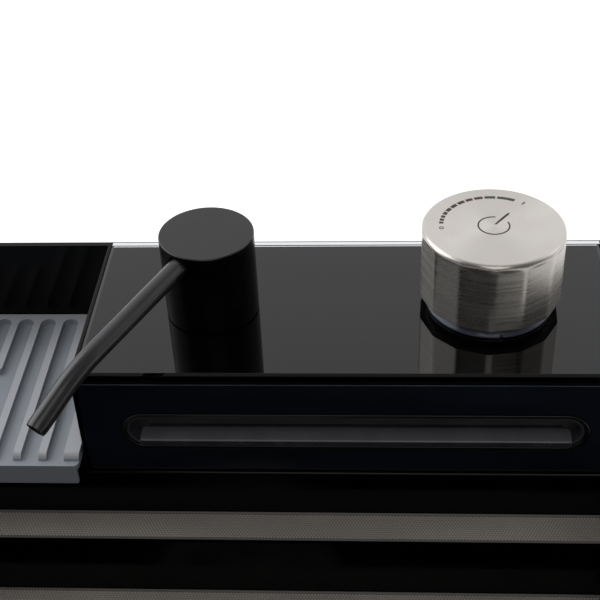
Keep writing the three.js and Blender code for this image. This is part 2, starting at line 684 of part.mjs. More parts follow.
function controlBox() {
  return cut(roundedPrism(BOX.x0, BOX.x1, BOX.y0, BOX.y1, BOX.z0, BOX.z1, 4, 4),
    rod(130, 78, 4, BOX.z1 - 8, BOX.z1 + 1, 16),
    bar([BOX.x0 - 1, 60, -73], [BOX.x0 + 12, 60, -73], 4, 16));
}

/** The lead from the switch and light boards down to the control box. */
function signalCable() {
  const path = new THREE.CatmullRomCurve3([
    new THREE.Vector3(KNOB.x - 16.2, KNOB.y, -12.2),
    new THREE.Vector3(KNOB.x - 24, KNOB.y + 5, -13.5),
    new THREE.Vector3(KNOB.x - 36, KNOB.y + 18, -30),
    new THREE.Vector3(130, 78, -46),
    new THREE.Vector3(130, 78, -58),
    new THREE.Vector3(130, 78, BOX.z1 - 7.5),
  ]);
  return swept(path, 1.8, 0, 16, 4);
}

place('control_box', controlBox(), look.blackPlastic);
place('signal_cable', signalCable(), look.rubber);

// ---------------------------------------------------------------- rim clips
const CLIP = { width: 14, arm: 15, sheet: 1.6, drop: 40, screw: 2.5, worktop: 20 };

/** A bent clip held to the bowl's wall, with a screw that bears on the worktop's underside.
 *  It is drawn with the wall at y = 0 and the worktop towards -Y. */
function rimClip() {
  const { width, arm, sheet, drop, screw, worktop } = CLIP;
  const half = width / 2;
  const bottom = COUNTER - drop;
  return join(
    box(-half, half, -arm, -GAP, bottom, bottom + sheet),
    box(-half, half, -sheet - GAP, -GAP, bottom, COUNTER - 8),
    rod(0, -arm + 5, screw, bottom - 6, COUNTER - worktop, 12),
    rod(0, -arm + 5, 2 * screw, bottom - 8, bottom - 5, 6),
  );
}

const clipSpots = [
  { x: -100, y: BOWL.front - SHEET, turn: 0 },
  { x: 195, y: BOWL.front - SHEET, turn: 0 },
  { x: LEFT - SHEET, y: -60, turn: -Math.PI / 2 },
  { x: RIGHT + SHEET, y: -60, turn: Math.PI / 2 },
];
clipSpots.forEach(({ x, y, turn }, k) => {
  const mesh = place(`rim_clip_${k + 1}`, rimClip(), look.steel);
  mesh.position.set(x, y, 0);
  mesh.rotation.z = turn;
});

export default part;
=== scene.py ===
"""Looks of the workstation sink with its tap deck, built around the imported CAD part.

Shapes are worked out in millimetres from the deck datum: x = 0 is the glass's left edge,
y = 0 its front edge and z = 0 its top face.
"""

import json
import math

import bmesh
import bpy
import numpy as np
from mathutils import Matrix, Vector


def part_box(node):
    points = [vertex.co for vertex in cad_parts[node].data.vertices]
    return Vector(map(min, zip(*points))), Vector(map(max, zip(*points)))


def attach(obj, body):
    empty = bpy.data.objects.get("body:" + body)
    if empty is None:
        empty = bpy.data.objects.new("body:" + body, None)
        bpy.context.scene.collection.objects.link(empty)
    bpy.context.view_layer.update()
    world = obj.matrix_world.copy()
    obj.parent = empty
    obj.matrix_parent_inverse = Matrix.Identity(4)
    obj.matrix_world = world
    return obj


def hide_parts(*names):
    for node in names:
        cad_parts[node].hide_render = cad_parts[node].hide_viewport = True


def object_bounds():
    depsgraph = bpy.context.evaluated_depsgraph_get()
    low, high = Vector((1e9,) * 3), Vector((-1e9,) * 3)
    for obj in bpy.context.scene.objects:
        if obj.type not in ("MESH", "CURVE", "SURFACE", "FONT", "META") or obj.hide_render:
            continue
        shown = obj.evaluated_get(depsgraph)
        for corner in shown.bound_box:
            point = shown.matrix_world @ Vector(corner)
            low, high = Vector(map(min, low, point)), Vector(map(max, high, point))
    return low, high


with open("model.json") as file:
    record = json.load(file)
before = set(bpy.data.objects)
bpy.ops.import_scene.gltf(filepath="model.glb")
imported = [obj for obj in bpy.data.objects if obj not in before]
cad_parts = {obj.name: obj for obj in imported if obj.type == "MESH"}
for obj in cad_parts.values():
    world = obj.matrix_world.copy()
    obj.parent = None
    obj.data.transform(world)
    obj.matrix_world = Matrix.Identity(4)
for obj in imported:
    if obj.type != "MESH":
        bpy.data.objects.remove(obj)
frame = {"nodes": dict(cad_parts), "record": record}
cad_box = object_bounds()

MM = 0.001
glass_low, glass_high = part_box("glass_top")
DATUM = Vector((glass_low.x, glass_low.y, glass_high.z))


class Span:
    """A CAD node's box, in millimetres from the deck datum."""

    def __init__(self, node):
        low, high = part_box(node)
        self.x0, self.y0, self.z0 = (low - DATUM) / MM
        self.x1, self.y1, self.z1 = (high - DATUM) / MM
        self.cx = (self.x0 + self.x1) / 2
        self.cy = (self.y0 + self.y1) / 2
        self.r = (self.x1 - self.x0) / 2


# ------------------------------------------------------------------ materials
def group_nodes(material):
    """A material's node tree and its shader."""
    material.use_nodes = True
    tree = material.node_tree
    return tree, tree.nodes["Principled BSDF"]


def put(socket, value):
    socket.default_value = value


def noise(tree, scale, detail=4.0, stretch=(1, 1, 1)):
    """A noise texture over the object's own coordinates, in metres."""
    where = tree.nodes.new("ShaderNodeTexCoord")
    mapping = tree.nodes.new("ShaderNodeMapping")
    put(mapping.inputs["Scale"], stretch)
    texture = tree.nodes.new("ShaderNodeTexNoise")
    put(texture.inputs["Scale"], scale)
    put(texture.inputs["Detail"], detail)
    tree.links.new(where.outputs["Object"], mapping.inputs["Vector"])
    tree.links.new(mapping.outputs["Vector"], texture.inputs["Vector"])
    return texture.outputs["Fac"]


def spread(tree, value, low, high, start=0.35, end=0.65):
    """Maps a value from start..end, a texture's middle range, to low..high."""
    node = tree.nodes.new("ShaderNodeMapRange")
    put(node.inputs["From Min"], start)
    put(node.inputs["From Max"], end)
    put(node.inputs["To Min"], low)
    put(node.inputs["To Max"], high)
    tree.links.new(value, node.inputs["Value"])
    return node.outputs["Result"]


def bump(tree, shader, height, distance):
    """Fine relief on a shader, its depth in metres."""
    node = tree.nodes.new("ShaderNodeBump")
    put(node.inputs["Distance"], distance)
    put(node.inputs["Strength"], 1.0)
    tree.links.new(height, node.inputs["Height"])
    tree.links.new(node.outputs["Normal"], shader.inputs["Normal"])


def tinted(tree, shader, value, dark, light):
    """Base colour between two tones, by a texture."""
    ramp = tree.nodes.new("ShaderNodeValToRGB")
    ramp.color_ramp.elements[0].position = 0.35
    ramp.color_ramp.elements[0].color = (*dark, 1)
    ramp.color_ramp.elements[1].position = 0.65
    ramp.color_ramp.elements[1].color = (*light, 1)
    tree.links.new(value, ramp.inputs["Fac"])
    tree.links.new(ramp.outputs["Color"], shader.inputs["Base Color"])


def surface(name, dark, light, rough, metal=0.0, grain=60.0, relief=0.0, relief_scale=900.0,
            specular=0.5, stretch=(1, 1, 1)):
    """A finish whose tone, gloss and fine relief vary over the surface."""
    material = bpy.data.materials.new(name)
    tree, shader = group_nodes(material)
    put(shader.inputs["Metallic"], metal)
    put(shader.inputs["Specular IOR Level"], specular)
    patches = noise(tree, grain, stretch=stretch)
    tinted(tree, shader, patches, dark, light)
    tree.links.new(spread(tree, patches, *rough), shader.inputs["Roughness"])
    if relief:
        bump(tree, shader, noise(tree, relief_scale, 3.0, stretch), relief)
    return material


def brushed(name, dark, light, rough, lines, anisotropy, radial):
    """Steel with fine parallel lines; radial turns the sheen about the piece's upright axis."""
    material = surface(name, dark, light, rough, 1.0, 60.0, stretch=lines)
    tree, shader = group_nodes(material)
    put(shader.inputs["Anisotropic"], anisotropy)
    put(shader.inputs["Anisotropic Rotation"], 0.25)
    if radial:
        tangent = tree.nodes.new("ShaderNodeTangent")
        tangent.direction_type = "RADIAL"
        tangent.axis = "Z"
        tree.links.new(tangent.outputs["Tangent"], shader.inputs["Tangent"])
    return material


MATERIAL = {
    "black_steel": surface("black_steel", (0.0009, 0.0009, 0.0011), (0.0015, 0.0015, 0.0018), (0.10, 0.18),
                           specular=0.15),
    "black_glass": surface("black_glass", (0.0008, 0.0008, 0.001), (0.0012, 0.0012, 0.0014),
                           (0.012, 0.022), grain=20.0),
    "film_panel": surface("film_panel", (0.006, 0.008, 0.013), (0.009, 0.012, 0.019), (0.12, 0.22),
                          relief=0.00002, relief_scale=40.0, stretch=(0.2, 1, 1)),
    "knob_steel": brushed("knob_steel", (0.50, 0.47, 0.435), (0.60, 0.57, 0.53), (0.25, 0.30),
                          (0.3, 0.3, 24), 0.7, True),
    "knob_top": brushed("knob_top", (0.64, 0.605, 0.56), (0.69, 0.66, 0.615), (0.27, 0.33),
                        (1, 1, 1), 0.8, True),
    "black_metal": surface("black_metal", (0.0025, 0.0025, 0.003), (0.004, 0.004, 0.0045), (0.28, 0.38)),
    "post_side": surface("post_side", (0.0015, 0.0015, 0.002), (0.0025, 0.0025, 0.003), (0.2, 0.28),
                         specular=0.08),
    "pipe": surface("pipe", (0.008, 0.008, 0.010), (0.012, 0.012, 0.014), (0.26, 0.34), specular=0.75),
    # painted shade: the slot's cup is the same plastic as its lip, drawn darker for the shade inside the
    # slot
    "slot_cup_shade": surface("slot_cup_shade", (0.034, 0.034, 0.040), (0.048, 0.048, 0.055), (0.4, 0.5)),
    # painted light: the lip's plastic drawn lighter for the light on its top
    "slot_lip_lit": surface("slot_lip_lit", (0.12, 0.122, 0.14), (0.15, 0.153, 0.172), (0.3, 0.4)),
    # painted shade: the lip's front faces drawn darker
    "slot_nose_shade": surface("slot_nose_shade", (0.03, 0.03, 0.036), (0.042, 0.042, 0.05), (0.2, 0.3)),
    # painted highlight: the front panel's upper bevel drawn in a lighter blue-grey for the light it catches
    "film_edge_highlight": surface("film_edge_highlight", (0.05, 0.065, 0.075), (0.08, 0.10, 0.11), (0.2, 0.3)),
    "steel": brushed("steel", (0.50, 0.49, 0.48), (0.60, 0.59, 0.58), (0.24, 0.34), (1, 40, 1), 0.4, False),
    "brass": surface("brass", (0.55, 0.38, 0.16), (0.66, 0.48, 0.22), (0.25, 0.38), 1.0),
    "black_plastic": surface("black_plastic", (0.018, 0.018, 0.02), (0.026, 0.026, 0.028), (0.42, 0.55),
                             relief=0.00003),
    "grey_plastic": surface("grey_plastic", (0.30, 0.325, 0.36), (0.33, 0.355, 0.39), (0.42, 0.5),
                            grain=25.0, relief=0.00001, relief_scale=1200.0),
    "white_plastic": surface("white_plastic", (0.62, 0.62, 0.59), (0.70, 0.70, 0.67), (0.4, 0.5)),
    "ceramic": surface("ceramic", (0.78, 0.75, 0.68), (0.84, 0.81, 0.75), (0.15, 0.22)),
    "rubber": surface("rubber", (0.012, 0.012, 0.012), (0.022, 0.022, 0.022), (0.65, 0.8), relief=0.00004),
    "board": surface("board", (0.01, 0.07, 0.025), (0.02, 0.11, 0.04), (0.3, 0.4)),
    "light_lens": surface("light_lens", (0.07, 0.08, 0.12), (0.09, 0.10, 0.15), (0.18, 0.26)),
    "mark": surface("mark", (0.03, 0.022, 0.02), (0.045, 0.032, 0.028), (0.45, 0.6), 0.3),
    "mark_warm": surface("mark_warm", (0.06, 0.033, 0.025), (0.085, 0.047, 0.034), (0.45, 0.6), 0.3),
    "mark_green": surface("mark_green", (0.05, 0.055, 0.042), (0.07, 0.08, 0.06), (0.45, 0.6), 0.3),
    # painted highlight: a near-white mirror that stands for the bright line of light through the glass's
    # clear back bevel; used on that bevel and on the strip behind it
    "edge": surface("edge", (0.92, 0.93, 0.93), (0.96, 0.97, 0.97), (0.05, 0.1), 0.9),
    # painted sheen: the honeycomb pads are the bowl's dark steel, drawn light grey for the sheen they catch
    "emboss_sheen": surface("emboss_sheen", (0.34, 0.315, 0.29), (0.47, 0.43, 0.39), (0.30, 0.40), grain=14.0),
    # painted sheen: the ledge tops are the bowl's dark steel, drawn grey for the sheen they catch
    "ledge": surface("ledge", (0.09, 0.085, 0.08), (0.12, 0.112, 0.104), (0.36, 0.46), grain=14.0),
    # painted highlight: the rib tops are the tray's grey plastic drawn lighter, for the light they catch
    # above the shaded channels
    "tray_rib_highlight": surface("tray_rib_highlight", (0.46, 0.47, 0.50), (0.50, 0.51, 0.54), (0.42, 0.5), grain=25.0),
}


# ------------------------------------------------------------------ meshes
SHARP = 35  # degrees between faces beyond which an edge is shaded as sharp


def finish_mesh(obj, angle=SHARP):
    """Smooth shading, with the sharp edges kept."""
    for polygon in obj.data.polygons:
        polygon.use_smooth = True
    obj.data.set_sharp_from_angle(angle=math.radians(angle))
    weights = obj.modifiers.new("weighted", "WEIGHTED_NORMAL")
    weights.keep_sharp = True


def make(name, shape, material, body="sink", replaces=(), angle=SHARP):
    """A piece from (vertices in millimetres, faces)."""
    vertices, faces = shape
    mesh = bpy.data.meshes.new(name)
    mesh.from_pydata([DATUM + Vector(v) * MM for v in vertices], [], faces)
    mesh.validate()
    obj = bpy.data.objects.new(name, mesh)
    bpy.context.scene.collection.objects.link(obj)
    outward(obj)
    mesh.materials.append(MATERIAL[material])
    finish_mesh(obj, angle)
    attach(obj, body)
    if replaces:
        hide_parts(*replaces)
    return obj


def outward(obj):
    """Turns a closed mesh's faces to point out."""
    work = bmesh.new()
    work.from_mesh(obj.data)
    bmesh.ops.remove_doubles(work, verts=work.verts, dist=1e-7)
    bmesh.ops.dissolve_degenerate(work, edges=work.edges, dist=1e-8)
    bmesh.ops.recalc_face_normals(work, faces=work.faces)
    work.to_mesh(obj.data)
    work.free()


def carve(obj, *shapes):
    """Cuts closed shapes out of a piece."""
    for shape in shapes:
        mesh = bpy.data.meshes.new("cutter")
        mesh.from_pydata([DATUM + Vector(v) * MM for v in shape[0]], [], shape[1])
        cutter = bpy.data.objects.new("cutter", mesh)
        bpy.context.scene.collection.objects.link(cutter)
        outward(cutter)
        cut = obj.modifiers.new("cut", "BOOLEAN")
        cut.object = cutter
        cut.operation = "DIFFERENCE"
        cut.solver = "EXACT"
        apply_cut(obj, cut)
        bpy.data.objects.remove(cutter)


def apply_cut(obj, cut):
    """Applies one boolean to the mesh and leaves the other modifiers as they are."""
    others = [m for m in obj.modifiers if m != cut]
    for m in others:
        m.show_viewport = False
    graph = bpy.context.evaluated_depsgraph_get()
    graph.update()
    mesh = bpy.data.meshes.new_from_object(obj.evaluated_get(graph))
    obj.modifiers.remove(cut)
    obj.data = mesh
    for m in others:
        m.show_viewport = True
    obj.data.set_sharp_from_angle(angle=math.radians(SHARP))


def repaint(obj, material, chosen):
    """Gives the faces that chosen picks a second material."""
    obj.data.materials.append(MATERIAL[material])
    for polygon in obj.data.polygons:
        if chosen(polygon):
            polygon.material_index = 1


def soften(obj, width, segments=3, angle=40):
    """Rounds a piece's edges, in millimetres."""
    edge = obj.modifiers.new("rounded", "BEVEL")
    edge.width = width * MM
    edge.segments = segments
    edge.limit_method = "ANGLE"
    edge.angle_limit = math.radians(angle)
    edge.harden_normals = False
    obj.modifiers.move(len(obj.modifiers) - 1, 0)


# ------------------------------------------------------------------ shapes
def loft(rings, closed=False):
    """Joins equally long rings of points; open ends are capped."""
    count = len(rings[0])
    vertices = [point for ring in rings for point in ring]
    faces = []
    last = len(rings) if closed else len(rings) - 1
    for a in range(last):
        b = (a + 1) % len(rings)
        for i in range(count):
            j = (i + 1) % count
            faces.append((a * count + i, a * count + j, b * count + j, b * count + i))
    if not closed:
        faces.append(tuple(range(count))[::-1])
        faces.append(tuple((len(rings) - 1) * count + i for i in range(count)))
    return vertices, faces


def rect_ring(x0, x1, y0, y1, z, r, steps=8):
    """A level rectangle with round corners."""
    corners = ((x1 - r, y0 + r, -90), (x1 - r, y1 - r, 0), (x0 + r, y1 - r, 90), (x0 + r, y0 + r, 180))
    ring = []
    for cx, cy, start in corners:
        for k in range(steps + 1):
            angle = math.radians(start + 90 * k / steps)
            ring.append((cx + r * math.cos(angle), cy + r * math.sin(angle), z))
    return ring


def circle_ring(cx, cy, r, z, count, start=0.0):
    """A level circle, as count points from the angle start."""
    angles = [start + 2 * math.pi * k / count for k in range(count)]
    return [(cx + r * math.cos(a), cy + r * math.sin(a), z) for a in angles]


def rounded_path(points, radii, steps=5):
    """A 2-D polyline whose inner corners are rounded by the given radii."""
    path = [points[0]]
    for before, corner, after, r in zip(points, points[1:], points[2:], radii):
        corner_v = np.array(corner, float)
        back = np.array(before, float) - corner_v
        ahead = np.array(after, float) - corner_v
        back_len, ahead_len = np.linalg.norm(back), np.linalg.norm(ahead)
        back, ahead = back / back_len, ahead / ahead_len
        half = math.acos(max(-1, min(1, float(back @ ahead)))) / 2
        if r <= 0 or half > math.pi / 2 - 1e-3:
            path.append(tuple(corner))
            continue
        run = min(r / math.tan(half), 0.49 * back_len, 0.49 * ahead_len)
        r = run * math.tan(half)
        centre = corner_v + (back + ahead) / np.linalg.norm(back + ahead) * r / math.sin(half)
        first, last = corner_v + back * run - centre, corner_v + ahead * run - centre
        turn = math.atan2(first[0] * last[1] - first[1] * last[0], float(first @ last))
        for k in range(steps + 1):
            a = turn * k / steps
            path.append((centre[0] + first[0] * math.cos(a) - first[1] * math.sin(a),
                         centre[1] + first[0] * math.sin(a) + first[1] * math.cos(a)))
    path.append(points[-1])
    return path


def closed_path(points, radius, steps=4):
    """A closed 2-D outline with every corner rounded by one radius, or one radius each."""
    radii = [radius] * len(points) if np.isscalar(radius) else list(radius)
    ring = rounded_path([points[-1], *points, points[0]], radii, steps)
    return ring[1:-1]


def turned(cx, cy, outline, count=96):
    """A body turned about an upright axis; an outline that starts and ends on the axis is capped."""
    on_axis = outline[0][0] < 1e-6
    inner = [(r, z) for r, z in outline if r > 1e-6]
    return loft([circle_ring(cx, cy, r, z, count) for r, z in inner], closed=not on_axis)


def block(x0, x1, y0, y1, z0, z1):
    """A box between two corners."""
    return loft([[(x0, y0, z), (x1, y0, z), (x1, y1, z), (x0, y1, z)] for z in (z0, z1)])


def upright(cx, cy, r, z0, z1, count=48):
    """A cylinder that stands along z."""
    return loft([circle_ring(cx, cy, r, z, count) for z in (z0, z1)])


def across(axis, centre, r, start, end, count=48):
    """A cylinder along x ("x") or y ("y") about a centre given as the other two coordinates."""
    rings = []
    for along in (start, end):
        ring = circle_ring(centre[0], centre[1], r, along, count)
        rings.append([(c, a, b) if axis == "x" else (a, c, b) for a, b, c in ring])
    return loft(rings)


def extruded(outline, z0, z1):
    """A plan outline drawn up between two heights."""
    return loft([[(x, y, z) for x, y in outline] for z in (z0, z1)])


def swept(points, radius, count=32, bore=None):
    """A round tube through points; radius may be a list. A bore makes it hollow."""
    points = [Vector(p) for p in points]
    radii = radius if hasattr(radius, "__len__") else [radius] * len(points)
    side = None
    outer, inner = [], []
    for k, point in enumerate(points):
        ahead = points[min(k + 1, len(points) - 1)] - points[max(k - 1, 0)]
        ahead.normalize()
        if side is None:
            side = ahead.orthogonal().normalized()
        side = (side - ahead * side.dot(ahead)).normalized()
        other = ahead.cross(side)
        ring = [(math.cos(2 * math.pi * i / count), math.sin(2 * math.pi * i / count)) for i in range(count)]
        outer.append([tuple(point + (side * c + other * s) * radii[k]) for c, s in ring])
        if bore:
            inner.append([tuple(point + (side * c + other * s) * bore) for c, s in ring])
    if bore:
        return loft(outer + inner[::-1], closed=True)
    return loft(outer)


def together(*shapes):
    """Several shapes as one."""
    vertices, faces = [], []
    for shape_vertices, shape_faces in shapes:
        start = len(vertices)
        vertices.extend(shape_vertices)
        faces.extend(tuple(start + i for i in face) for face in shape_faces)
    return vertices, faces


# ------------------------------------------------------------------ CAD pieces
CREASED = 0.25
for sub in frame["record"]["subparts"]:
    node = frame["nodes"][sub["node"]]
    node.data.materials.clear()
    node.data.materials.append(MATERIAL[sub["material_slot"]])
    finish_mesh(node, 40)
    soften(node, CREASED, 2, 45)

# ------------------------------------------------------------------ sink
SHEET, RIM, WALL, LEDGE = 2.0, 18.0, 3.5, 16.0
LEDGE_Z = (-82.6, -118.0)
PLAN_CORNER = 5.0
SIDE_DRAFT = 0.02  # how far the bowl's sides draw in, per millimetre of inset
DRAIN_HOLE_R = 45
RISER_HOLE_R, CARTRIDGE_HOLE_R = 9, 11.5
OVERFLOW_Z, OVERFLOW_HOLE_R = -96, 9
FLOOR_DIP = 0.5  # the floor's last fall to the drain

sink = Span("sink_body")
panel = Span("front_panel")
tray = Span("drain_tray")
drain = Span("strainer_body")
LEFT, RIGHT = sink.x0 + RIM + WALL, sink.x1 - RIM - WALL
FRONT = sink.y0 + RIM + SHEET
FLOOR = sink.z0 + SHEET
DECK_BACK = sink.y1 - RIM - WALL
RIM_UNDER = -60.0
RIM_TOP = RIM_UNDER + 3.0
DIVIDER = (-2.2, -0.3)
WALL_TOP = -0.8


def bowl_ring(a, z, grow=0.0, steps=8):
    """The bowl's plan at inset a from its front and back; its sides draw in by little above the floor."""
    run = a + grow
    side = a if run < 0 else SIDE_DRAFT * min(run, 2 * LEDGE) + max(0.0, run - 2 * LEDGE) - grow
    corner = PLAN_CORNER - min(side, 0)
    return rect_ring(LEFT + side, RIGHT - side, FRONT + a, -a, z, corner, steps)


def bowl_shell():
    """Rim and bowl as one closed skin: from the rim down the inside, and back up the outside."""
    upper, lower = LEDGE_Z
    inside = rounded_path(
        [(-4, RIM_TOP), (0, RIM_TOP), (0, upper), (LEDGE, upper), (LEDGE, lower), (2 * LEDGE, lower),
         (2 * LEDGE, FLOOR), (2 * LEDGE + 22, FLOOR - 0.4)],
        [1.5, 2.0, 2.6, 2.0, 2.6, 10.0])
    outside = rounded_path(
        [(-SHEET, RIM_UNDER), (-SHEET, upper - SHEET), (LEDGE - SHEET, upper - SHEET),
         (LEDGE - SHEET, lower - SHEET), (2 * LEDGE - SHEET, lower - SHEET),
         (2 * LEDGE - SHEET, FLOOR - SHEET), (2 * LEDGE + 22, FLOOR - SHEET)],
        [2.0, 2.0, 2.0, 2.0, 10.0])
    count = len(bowl_ring(0, 0))
    turn = -math.pi / 2 + math.pi / count
    rings = [rect_ring(sink.x0 + i, sink.x1 - i, sink.y0 + i, sink.y1 - i, z, 14 - i)
             for i, z in ((0, RIM_UNDER + 0.3), (0, RIM_TOP - 0.9), (0.25, RIM_TOP - 0.3), (0.8, RIM_TOP))]
    rings += [bowl_ring(a, z) for a, z in inside]
    rings += [circle_ring(drain.cx, drain.cy, r, z, count, turn)
              for r, z in ((60, FLOOR - FLOOR_DIP), (58, FLOOR - FLOOR_DIP),
                           (DRAIN_HOLE_R, FLOOR - FLOOR_DIP), (DRAIN_HOLE_R, FLOOR - SHEET))]
    rings += [bowl_ring(a, z, SHEET) for a, z in outside[::-1]]
    rings.append(rect_ring(sink.x0 + 0.3, sink.x1 - 0.3, sink.y0 + 0.3, sink.y1 - 0.3, RIM_UNDER, 13.7))
    return loft(rings, closed=True)


def deck_walls():
    """The raised deck's outer walls and the wall between the bay and the tap module."""
    x0, x1, back = LEFT - WALL, RIGHT + WALL, DECK_BACK + WALL
    outline = [(x0, 0), (LEFT, 0), (LEFT, DECK_BACK), (DIVIDER[0], DECK_BACK), (DIVIDER[0], 0),
               (DIVIDER[1], 0), (DIVIDER[1], DECK_BACK), (RIGHT, DECK_BACK), (RIGHT, 0), (x1, 0),
               (x1, back), (x0, back)]
    return extruded(outline, RIM_TOP - 0.5, WALL_TOP)


def honeycomb(y0, y1, z, pitch=1.45, proud=0.18):
    """Raised six-sided pads in staggered rows along a ledge."""
    shapes = []
    row_step = pitch * math.sqrt(3) / 2
    rows = int((y1 - y0) / row_step)
    columns = int((RIGHT - LEFT - 8) / pitch)
    for row in range(rows):
        y = y0 + (row + 0.5) * row_step
        for column in range(columns):
            x = LEFT + 4 + (column + (row % 2) / 2 + 0.5) * pitch
            rings = []
            for r, height in ((0.50, -0.05), (0.44, 0.7), (0.26, 1.0)):
                rings.append([(x + pitch * r * math.cos(math.radians(60 * k + 30)),
                               y + pitch * r * math.sin(math.radians(60 * k + 30)),
                               z + proud * height) for k in range(6)])
            shapes.append(loft(rings))
    return together(*shapes)


shell = make("sink_bowl", bowl_shell(), "black_steel", replaces=("sink_body",))
riser_hole = Span("riser")
cartridge_hole = Span("cartridge_body")
carve(shell,
      block(LEFT, RIGHT, SHEET, DECK_BACK, RIM_UNDER - 1, RIM_UNDER + 1),
      upright(riser_hole.cx, riser_hole.cy, RISER_HOLE_R, RIM_UNDER - 4, RIM_UNDER + 10),
      upright(cartridge_hole.cx, cartridge_hole.cy, CARTRIDGE_HOLE_R, RIM_UNDER - 4, RIM_UNDER + 10),
      across("x", (drain.cy, OVERFLOW_Z), OVERFLOW_HOLE_R, RIGHT - 4, RIGHT + 6))
walls = make("deck_frame", deck_walls(), "black_steel")
soften(walls, 0.45, 3)
# A bright strip on the back wall top: a painted highlight for the light band behind the glass.
make("deck_highlight_strip", block(0, RIGHT, DECK_BACK + 0.1, DECK_BACK + 2.5, WALL_TOP - 0.5, WALL_TOP + 0.05),
     "edge")


def ledge_sheen_faces(polygon):
    height = (polygon.center.z - DATUM.z) / MM
    return polygon.normal.z > 0.5 and min(abs(height - z) for z in LEDGE_Z) < 0.9


# Painted sheen: the upward ledge faces of the dark steel bowl are drawn grey.
repaint(shell, "ledge", ledge_sheen_faces)
# The pads carry painted sheen: light grey in place of the dark steel's reflections.
for number, name in enumerate(("ledge_emboss_upper", "ledge_emboss_lower")):
    back = -number * LEDGE
    make(name, honeycomb(back - LEDGE + 0.9, back - 0.7, LEDGE_Z[number]), "emboss_sheen",
         angle=20)

# ------------------------------------------------------------------ glass and front panel
glass = Span("glass_top")
CHAMFER = (1.5, 0.6)


def glass_slab():
    """The glass with its ground upper edge."""
    run, drop = CHAMFER
    path = rounded_path([(0.4, glass.z0), (0, glass.z0 + 0.4), (0, -drop), (run, 0), (run + 6, 0)],
                        [0.1, 0.2, 0.4], 3)
    rings = [rect_ring(glass.x0 + i, glass.x1 - i, glass.y0 + i, glass.y1 - i, z, 0.9, 3) for i, z in path]
    return loft(rings)


slab = make("glass_slab", glass_slab(), "black_glass", replaces=("glass_top",), angle=12)
# Painted highlight: the glass's back chamfer faces get the near-white mirror.
repaint(slab, "edge", lambda polygon: polygon.normal.y > 0.2 and polygon.normal.z > 0.3)

bezel = Span("nozzle_bezel")
lip = Span("nozzle_lip")
insert = Span("nozzle_insert")
SLOT_R = (bezel.z1 - bezel.z0) / 2
BEZEL_WIDTH = 1.8
CUP_WALL = 1.2


def stadium(grow, y, steps=14):
    """The slot's outline grown by a distance, standing in the plane of the panel."""
    r = SLOT_R + grow
    ring = rect_ring(bezel.x0 - grow, bezel.x1 + grow, bezel.z0 - grow, bezel.z1 + grow, 0, r - 0.01, steps)
    return [(x, y, z) for x, z, _ in ring]


def stadium_body(outline):
    """A closed ring of the slot's outline, with the given section."""
    return loft([stadium(grow, y) for grow, y in outline], closed=True)


def panel_sheet():
    """The front panel, with rounded edges and the slot's opening."""
    corner, edge = 0.6, 0.25

    def border(inset, y):
        ring = rect_ring(panel.x0 + inset, panel.x1 - inset, panel.z0 + inset, panel.z1 - inset,
                         0, corner, 14)
        return [(x, y, z) for x, z, _ in ring]

    rings = [border(0, panel.y1), border(0, edge), border(0.08, 0.08), border(edge, 0)]
    rings += [stadium(0.45, 0), stadium(0.3, 0.2), stadium(0.3, panel.y1)]
    return loft(rings, closed=True)


sheet = make("front_sheet", panel_sheet(), "film_panel", replaces=("front_panel",))
# Painted highlight: the panel's upward faces along its top edge get the lighter tone.
panel_edge = DATUM.z + (panel.z1 - 1) * MM
repaint(sheet, "film_edge_highlight", lambda polygon: (
    polygon.normal.z > 0.2 and polygon.normal.y < -0.05 and polygon.center.z > panel_edge))
bezel_section = closed_path(
    [(0, bezel.y1), (0, bezel.y0), (-BEZEL_WIDTH, bezel.y0 + 0.25), (-BEZEL_WIDTH, bezel.y1)],
    (0.1, 0.35, 0.5, 0.1))
make("slot_bezel", stadium_body(bezel_section), "black_metal", replaces=("nozzle_bezel",))
cup_in = -BEZEL_WIDTH - 0.3
# The cup carries painted shade: the lip's plastic in a darker tone.
cup = make("slot_cup_shade", loft(
    [stadium(cup_in - CUP_WALL, lip.y1 + 0.3), stadium(cup_in - CUP_WALL, insert.y0 + 0.3),
     stadium(cup_in - CUP_WALL + 0.3, insert.y0), stadium(cup_in, insert.y0), stadium(cup_in, insert.y1)]),
    "slot_cup_shade", replaces=("nozzle_insert",))
carve(cup, block(lip.x0 + 3, lip.x1 - 3, 0, insert.y1 + 2, lip.z1 + 0.3, lip.z1 + 1.6))


def lip_bar():
    """The flat plate the water runs over, with a deeper rounded nose in front."""
    under = lip.z1 - 1.3
    profile = closed_path([(lip.y1, under), (lip.y0 + 1.1, under), (lip.y0 + 1.1, lip.z0), (lip.y0, lip.z0),
                           (lip.y0, lip.z1), (lip.y1, lip.z1)], (0.2, 0.1, 0.4, 0.5, 0.9, 0.2), 5)
    rings = []
    for x, back in ((lip.x0, 1.2), (lip.x0 + 0.3, 0.55), (lip.x0 + 0.9, 0.15), (lip.x0 + 1.8, 0.0),
                    (lip.x1 - 1.8, 0.0), (lip.x1 - 0.9, 0.15), (lip.x1 - 0.3, 0.55), (lip.x1, 1.2)):
        rings.append([(x, min(y + back, lip.y1) if y < 2 else lip.y1 - back, z) for y, z in profile])
    return loft(rings)


# The lip's top is drawn lighter and its front faces darker: painted light and painted shade on one plastic.
plate_lip = make("slot_lip_lit", lip_bar(), "slot_lip_lit", replaces=("nozzle_lip",))
repaint(plate_lip, "slot_nose_shade", lambda polygon: polygon.normal.y < -0.5 and polygon.normal.z < 0.3)

# ------------------------------------------------------------------ knob
knob = Span("knob_cap")
FACETS = 14
FACET_TURN = math.radians(-93.6)
CROWN_R = 2.2
KNOB_WALL = 3.6
TOP_CENTRE_R = 14  # inner circle of the flat top's faces


def facet_radius(angle, r, soft=0.25):
    """Radius of a polygon with slightly rounded corners, whose corners reach r."""
    step = 2 * math.pi / FACETS
    off = (angle - FACET_TURN) % step - step / 2
    flat = r * math.cos(step / 2) / math.cos(off)
    return min(flat, r - soft * 0.6)


